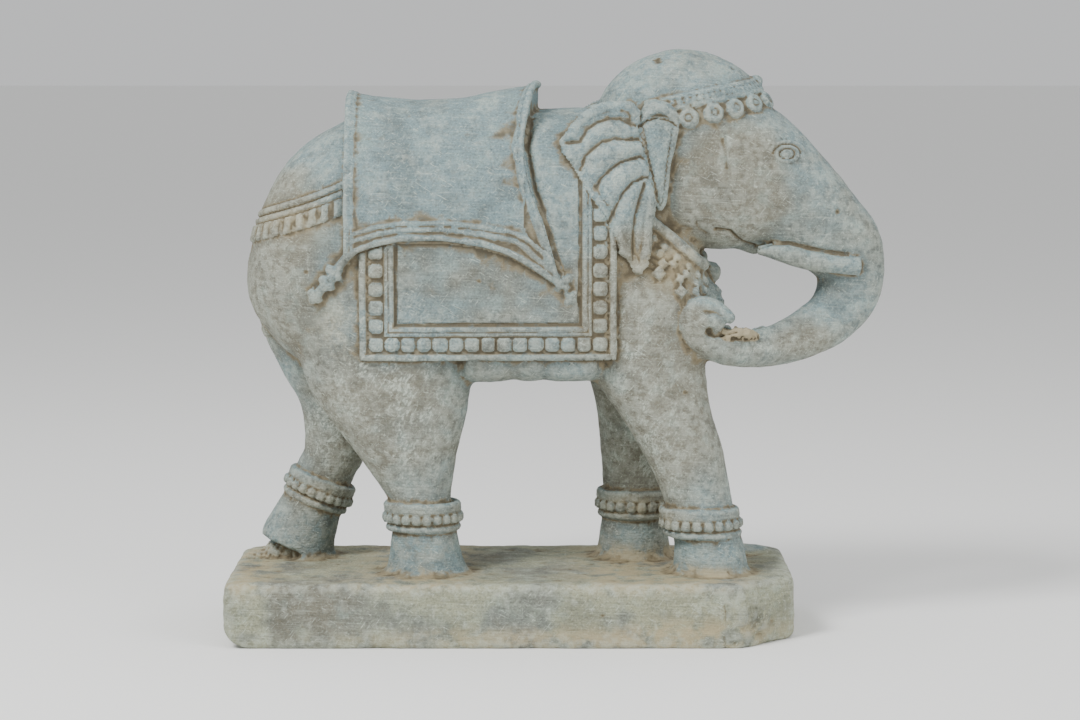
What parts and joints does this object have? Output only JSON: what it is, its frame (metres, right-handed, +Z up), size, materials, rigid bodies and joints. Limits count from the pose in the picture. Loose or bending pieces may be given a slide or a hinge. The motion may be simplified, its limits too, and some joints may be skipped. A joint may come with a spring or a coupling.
{
  "type": "elephant statue",
  "caption": "Carved stone elephant striding on a low plinth, dressed in draped cloths, jewelled bands and anklets, its trunk curled back against a foreleg.",
  "frame": {"origin": "centre of the overall box, on the plinth's flat underside", "axes": "+X the way the elephant faces, along the block; +Y across the block, away from the show side; +Z up"},
  "size_m": [0.6518, 0.244, 0.5781],
  "materials": {
    "stone": "weathered grey-green stone, tooled and matt"
  },
  "bodies": {
    "root": {"elephant_carving": "stone"}
  },
  "joints": []
}
